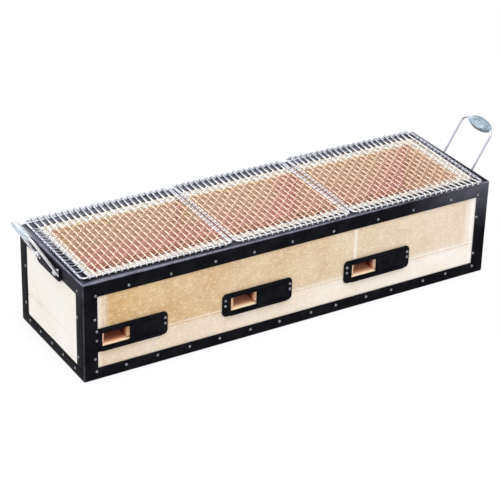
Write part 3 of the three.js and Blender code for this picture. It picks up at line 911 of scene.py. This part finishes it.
def make_steel_frame(material):
    for quarter_turns, side in enumerate(("front", "right", "back", "left")):
        make_rail(f"top_angle_{side}", f"top_rail_{side}", quarter_turns, True, material)
        make_rail(f"bottom_angle_{side}", f"bottom_rail_{side}", quarter_turns, False, material)
    for side_y, wall in ((-1, "front"), (1, "back")):
        for side_x, end in ((-1, "left"), (1, "right")):
            make_post(f"post_{wall}_{end}", f"corner_post_{wall}_{end}", side_x, side_y,
                      material)


# ---------------------------------------- nails

TOP_NAILS_X = [-316, -239, -157, -83, -10, 73, 162, 236, 316]
BOTTOM_NAILS_X = [-321, -264, -204, -147, -88, -30, 34, 84, 147, 200, 267, 316]
TOP_NAIL_Z = 161
BOTTOM_NAIL_Z = 14
POST_NAILS_X = [-376, 375]           # on the front and the back
POST_NAILS_Y = [-98, 98]             # on the ends
POST_NAIL_HEIGHTS = [114, 41]
CORNER_NAIL_HEIGHTS = [157, 16]      # above and below those, on the front and the back
END_NAILS_Y = [-88, -44, 0, 44, 88]
VENT_NAIL_HEIGHTS = [73, 83]
FIRST_VENT_NAIL_X = -374             # on the corner post beside the first vent
FIRST_VENT_NAIL_HEIGHTS = [73, 90]
VENT_NAIL_INSET = 5


def add_nail(shape, place, outward):
    """A domed nail head with a flattened crown, tilted a little at random."""
    place = Vector(place)
    wobble = Vector([random.uniform(-NAIL_TILT, NAIL_TILT) for _ in range(3)])
    up = (Vector(outward) + wobble).normalized()
    side = up.orthogonal().normalized()
    other = up.cross(side)
    profile = [(NAIL * 0.92, -0.5), (NAIL, 0.0), (NAIL * 0.97, 0.28), (NAIL * 0.84, 0.62),
               (NAIL * 0.6, 0.9), (NAIL * 0.3, 1.06), (NAIL * 0.08, NAIL_RISE)]
    turns = [2 * math.pi * k / NAIL_SIDES for k in range(NAIL_SIDES)]
    shape.loft([[place + up * height + radius * (math.cos(a) * side + math.sin(a) * other)
                 for a in turns] for radius, height in profile])


def make_nails(material):
    def jitter(size):
        return random.uniform(-size, size)

    for side, label in ((-1, "front"), (1, "back")):
        shape = Shape()
        face = side * HALF_Y
        for row, z in ((TOP_NAILS_X, TOP_NAIL_Z), (BOTTOM_NAILS_X, BOTTOM_NAIL_Z)):
            for x in row:
                add_nail(shape, (x + jitter(1), face, z + jitter(1)), (0, side, 0))
        for x in POST_NAILS_X:
            for z in CORNER_NAIL_HEIGHTS + POST_NAIL_HEIGHTS:
                add_nail(shape, (x + jitter(1.5), face, z + jitter(1.5)), (0, side, 0))
        make_piece(f"nails_{label}", shape, material, "box")
    for side, label in ((-1, "left"), (1, "right")):
        shape = Shape()
        face = side * HALF_X
        for y in END_NAILS_Y:
            add_nail(shape, (face, y + jitter(3), BOTTOM_NAIL_Z - 1 + jitter(1)), (side, 0, 0))
        for y in POST_NAILS_Y:
            for z in [TOP_NAIL_Z, *POST_NAIL_HEIGHTS]:
                add_nail(shape, (face, y + jitter(1.5), z + jitter(1.5)), (side, 0, 0))
        make_piece(f"nails_{label}", shape, material, "box")


# ---------------------------------------- vents


def make_vents(paint, nail_metal):
    shape = Shape()
    for index in (1, 2, 3):
        softened(f"vent_plate_{index}", f"vent_track_{index}", paint)
        softened(f"vent_door_{index}", f"sliding_door_{index}", paint,
                 body=f"vent_door_{index}")
        low, high = box_mm(f"vent_plate_{index}")
        face = low.y + 0.6
        first = index == 1
        left_end = FIRST_VENT_NAIL_X if first else low.x + VENT_NAIL_INSET
        left_face = -HALF_Y if first else face
        for z in FIRST_VENT_NAIL_HEIGHTS if first else VENT_NAIL_HEIGHTS:
            add_nail(shape, (left_end, left_face, z), (0, -1, 0))
        for z in VENT_NAIL_HEIGHTS:
            add_nail(shape, (high.x - VENT_NAIL_INSET, face, z), (0, -1, 0))
    make_piece("vent_nails", shape, nail_metal, "box")


# ---------------------------------------- nets


@functools.cache
def net_sizes(place):
    """The middle of a net and half its length and depth before it is turned, from its box."""
    low, high = box_mm(f"cooking_net_{place}")
    middle = (low + high) / 2
    wide, deep = (high.x - low.x) / 2, (high.y - low.y) / 2
    turn = math.radians(abs(NET_TURNS[place]))
    c, s = math.cos(turn), math.sin(turn)
    spread = c * c - s * s
    return middle, (wide * c - deep * s) / spread, (deep * c - wide * s) / spread


def woven_line(half, crossings, wire, sway):
    """Half a wave per crossing, then a hook over the border rod at each end: places along the
    wire and heights, the middle of the rod being at height 0."""
    rod = half - wire - NET_ROD / 2
    wrap = (NET_ROD + wire) / 2
    first, last = crossings[0], crossings[-1]
    count = (len(crossings) - 1) * WEAVE_STEPS
    line = []
    for i in range(-WEAVE_STEPS // 2, count + WEAVE_STEPS // 2 + 1):
        place = first + (last - first) * i / count
        line.append((place, sway * math.cos(math.pi * i / WEAVE_STEPS)))

    def hook(sign):
        turns = [90, 60, 30, 0, -30, -60, -90]
        return [(sign * (rod + wrap * math.cos(math.radians(a))), wrap * math.sin(math.radians(a)))
                for a in turns]

    return hook(-1)[::-1] + line + hook(1)


def over_fire(point, normal):
    """Where the charcoal heats a wire: past the chamber's edges at the front and the left, and
    not quite to them at the back and the right."""
    deep = BACK_LOW.y + (HEAT_PAST_FRONT if point.y < 0 else HEAT_PAST_BACK)
    long = -BLOCK_LOW.x + (HEAT_PAST_LEFT if point.x < 0 else HEAT_PAST_RIGHT)
    within_depth = smoothstep(deep, deep - HEAT_FADE, abs(point.y))
    return within_depth * smoothstep(long, long - HEAT_FADE, abs(point.x))


def over_edges(point, normal):
    """Smoke dulls the wires over the steel, most of all at the back and the ends."""
    behind = smoothstep(HALF_Y - 27, HALF_Y - 21, point.y)
    beside = (1.0 if point.x > 0 else 0.9) * smoothstep(HALF_X - 26, HALF_X - 20, abs(point.x))
    before = 0.45 * smoothstep(HALF_Y - 24, HALF_Y - 14, -point.y)
    return max(behind, beside, before)


def make_net(place, wire_material, long_material, rod_material):
    middle, half_x, half_y = net_sizes(place)
    turn = Matrix.Rotation(math.radians(NET_TURNS[place]), 3, "Z")

    def crossings(half, spare):
        """The places of the wires, which stay clear of the border by some spare pitches."""
        count = int(2 * half / NET_PITCH) - spare
        return [(i - (count - 1) / 2) * NET_PITCH for i in range(count)]

    def bent(value):
        return 0.25 * noise.noise(Vector((value * 0.05, 3.1, middle.x * 0.01)))

    def finish_net(name, shape, material, replaces=()):
        shape.points = [turn @ Vector(point) + middle for point in shape.points]
        piece = make_piece(name, shape, material, f"net_{place}", replaces, sharp=60)
        mark(piece.data, "heated", over_fire)
        mark(piece.data, "smoked", over_edges)

    columns = crossings(half_x, 1)
    rows = crossings(half_y, 3)
    crosswise = Shape()
    for i, x in enumerate(columns):
        drift = random.uniform(-0.35, 0.35)
        line = woven_line(half_y, rows, NET_WIRE, NET_SWAY if i % 2 else -NET_SWAY)
        path = [(x + drift + bent(y + i * 7), y, z) for y, z in line]
        crosswise.tube(path, (1, 0, 0), NET_WIRE / 2, 9, flat=NET_FLAT)
    finish_net(f"crosswise_wires_{place}", crosswise, wire_material, [f"cooking_net_{place}"])

    lengthwise = Shape()
    over = (NET_WIRE + NET_LONG_WIRE) / 2
    for j, y in enumerate(rows[:-1]):
        drift = random.uniform(-0.35, 0.35)
        line = woven_line(half_x, columns, NET_LONG_WIRE, -over if j % 2 else over)
        path = [(x, y + drift + bent(x + j * 7), z) for x, z in line]
        lengthwise.tube(path, (0, 1, 0), NET_LONG_WIRE / 2, 7)
    finish_net(f"lengthwise_wires_{place}", lengthwise, long_material)

    rods = Shape()

    def border(inset, radius, height):
        """A wire round the edge, bent round at the corners, that far inside the wires' loops."""
        reach_x, reach_y = half_x - NET_LONG_WIRE - inset, half_y - NET_WIRE - inset
        path = []
        for cx, cy, start in ((1, 1, 0), (-1, 1, 90), (-1, -1, 180), (1, -1, 270)):
            centre = (cx * (reach_x - NET_CORNER), cy * (reach_y - NET_CORNER))
            path += arc(centre, NET_CORNER, start, start + 90, 6)
        rods.tube([(x, y, height) for x, y in path], (0, 0, 1), radius, 10, closed=True)

    border(NET_ROD / 2, NET_ROD / 2, 0)
    border(NET_ROD + NET_HEM / 2, NET_HEM / 2, -0.5)
    for side in (-1, 1):
        if (place, side) not in (("left", -1), ("right", 1)):
            x = side * (half_x - NET_LONG_WIRE - NET_SELVAGE)
            path = [(x + bent(y), y, -0.4) for y in np.linspace(6 - half_y, half_y - 6, 20)]
            rods.tube(path, (1, 0, 0), NET_HEM / 2, 8)
    finish_net(f"net_border_{place}", rods, rod_material)


# ---------------------------------------- handles


def make_bail(place, side, material):
    """The wire bail: two feet turned into the eyelets, two legs and a straight top."""
    pivot = handle_pivot(place, side)
    lean = math.radians(HANDLE_LEAN)
    half = HANDLE_SPAN / 2
    foot, shoulder = BAIL_FOOT, BAIL_SHOULDER
    outline = [(half - BAIL_STUB, 0)]
    outline += [(half - foot + u, v + foot) for u, v in arc((0, 0), foot, -90, 0, 6)]
    legs = np.linspace(foot + 6, HANDLE_REACH - shoulder - 6, 8)
    outline += [(half, v) for v in legs]
    outline += [(half - shoulder + u, HANDLE_REACH - shoulder + v)
                for u, v in arc((0, 0), shoulder, 0, 90, 8)]
    outline += [(u, HANDLE_REACH) for u in (half - shoulder - 6, 12, 0)]
    outline += [(-u, v) for u, v in outline[-2::-1]]
    path = [pivot + Vector((side * v * math.sin(lean), u, v * math.cos(lean)))
            for u, v in outline]
    shape = Shape()
    shape.tube(path, (side * math.cos(lean), 0, -math.sin(lean)), WIRE / 2, 16)
    make_piece(f"wire_bail_{place}", shape, material, f"handle_{place}",
               [f"bail_{place}"], sharp=50)


def handle_pivot(place, side):
    """The middle of the pivot line, halfway between the two eyelets."""
    front_low, front_high = box_mm(f"eyelet_{place}_front")
    back_high = box_mm(f"eyelet_{place}_back")[1]
    y = (front_low.y + back_high.y) / 2
    x = front_low.x + EYE_RADIUS if side < 0 else front_high.x - EYE_RADIUS
    return Vector((x, y, front_high.z - EYE_RADIUS))


def grip_half_width(share):
    """Leaf outline, more pointed at the back: share runs from -1 to 1 along the grip."""
    point = 0.62 if share < 0 else 0.9
    swell = max(0.0, 1 - abs(share) ** 2.1) ** point
    return GRIP_NECK + (GRIP_WIDTH / 2 - GRIP_NECK) * swell


def grip_height(u, half_width, share):
    """Half the grip's thickness at u across it: a shell that closes at the rim, with a dished
    middle, small cross ribs and a raised ring inside the rim."""
    across = abs(u) / half_width
    swell = GRIP_NECK + (GRIP_THICK / 2 - GRIP_NECK) * max(0.0, 1 - abs(share) ** 2) ** 0.8
    shell = swell * max(0.0, 1 - across ** 2.6) ** 0.55
    reach = math.hypot(across, share)
    dish = 1.5 * smoothstep(0.62, 0.3, reach)
    ring = 0.5 * math.exp(-((reach - 0.68) / 0.07) ** 2)
    ribs = 0.3 * math.cos(share * 11 * math.pi) * smoothstep(0.55, 0.35, reach)
    return max(GRIP_RIM, min(swell, shell - dish + ring + ribs))


def make_grip(place, side, material):
    """The stamped sheet grip, pressed to a leaf round the top of the bail."""
    pivot = handle_pivot(place, side)
    lean = math.radians(HANDLE_LEAN)
    out = Vector((side * math.sin(lean), 0, math.cos(lean)))
    thick = Vector((side * math.cos(lean), 0, -math.sin(lean)))
    grip_low, grip_high = box_mm(f"grip_{place}")
    shift = (grip_low.y + grip_high.y) / 2 - pivot.y
    stations = 56
    around = 22
    rings = []
    for i in range(stations + 1):
        share = -math.cos(math.pi * i / stations)
        width = grip_half_width(share)
        centre = pivot + out * HANDLE_REACH + Vector((0, shift + share * GRIP_LENGTH / 2, 0))
        upper = [width * math.cos(math.pi * k / around) for k in range(around + 1)]
        ring = [centre + out * u + thick * grip_height(u, width, share) for u in upper]
        ring += [centre + out * u - thick * grip_height(u, width, share)
                 for u in reversed(upper)]
        rings.append(ring)
    shape = Shape()
    shape.loft(rings)
    piece = make_piece(f"stamped_grip_{place}", shape, material, f"handle_{place}",
                       [f"grip_{place}"])
    bmesh_clean(piece.data)


def make_handles(paint, metals):
    """Both handles. Metals gives the wire's and the grip's for the left one and the right one: a lit
    copy and a shaded copy of one steel, as painted light and shade.
    """
    for side, place, (wire_metal, grip_metal) in zip((-1, 1), ("left", "right"), metals):
        softened(f"handle_plate_{place}", f"hanger_plate_{place}", paint,
                 width_mm=0.4)
        for wall in ("front", "back"):
            softened(f"eyelet_{place}_{wall}", f"strap_eye_{place}_{wall}", wire_metal,
                     width_mm=0.45)
        make_bail(place, side, wire_metal)
        make_grip(place, side, grip_metal)


# ---------------------------------------- grates


def make_grates(material):
    for index in (1, 2, 3):
        softened(f"fire_grate_{index}", f"cast_grate_{index}", material,
                 body=f"grate_{index}", width_mm=0.7)


# ---------------------------------------- the whole grill

make_camera()
make_studio()

stone = make_diatomite()
black_paint = make_black_paint()
nail_metal = make_metal("nail_metal", (0.33, 0.33, 0.36), (0.18, 0.18, 0.21), 0.3, 900)
net_metal = make_net_metal("net_metal", (0.88, 0.84, 0.78), (0.83, 0.62, 0.49),
                           (0.52, 0.54, 0.58))
# The lengthwise wires get a darker copy of the net's metal, as painted shade: they catch less light
# than the crosswise ones.
long_metal = make_net_metal("shaded_net_metal", (0.80, 0.77, 0.73), (0.66, 0.47, 0.37),
                            (0.46, 0.48, 0.53))
rod_metal = make_net_metal("rod_metal", (0.88, 0.87, 0.88), (0.99, 0.95, 0.91),
                           (0.60, 0.61, 0.67))
# Lit and shaded copies of one steel, as painted light and shade: the left handle catches the light, the
# right one is in shade.
lit_wire = make_metal("lit_wire", (0.82, 0.82, 0.86), (0.68, 0.68, 0.73), 0.34, 700)
shaded_wire = make_metal("shaded_wire", (0.58, 0.57, 0.64), (0.46, 0.45, 0.52), 0.4, 700)
lit_sheet = make_metal("lit_sheet", (0.68, 0.73, 0.79), (0.48, 0.54, 0.61), 0.36, 420, 0.1)
shaded_sheet = make_metal("shaded_sheet", (0.36, 0.43, 0.49), (0.24, 0.30, 0.36), 0.42, 420, 0.1)
iron = make_cast_iron()

make_diatomite_body(stone)
make_steel_frame(black_paint)
make_nails(nail_metal)
make_vents(black_paint, nail_metal)
make_grates(iron)
for net_place in NET_TURNS:
    make_net(net_place, net_metal, long_metal, rod_metal)
make_handles(black_paint, [(lit_wire, lit_sheet), (shaded_wire, shaded_sheet)])
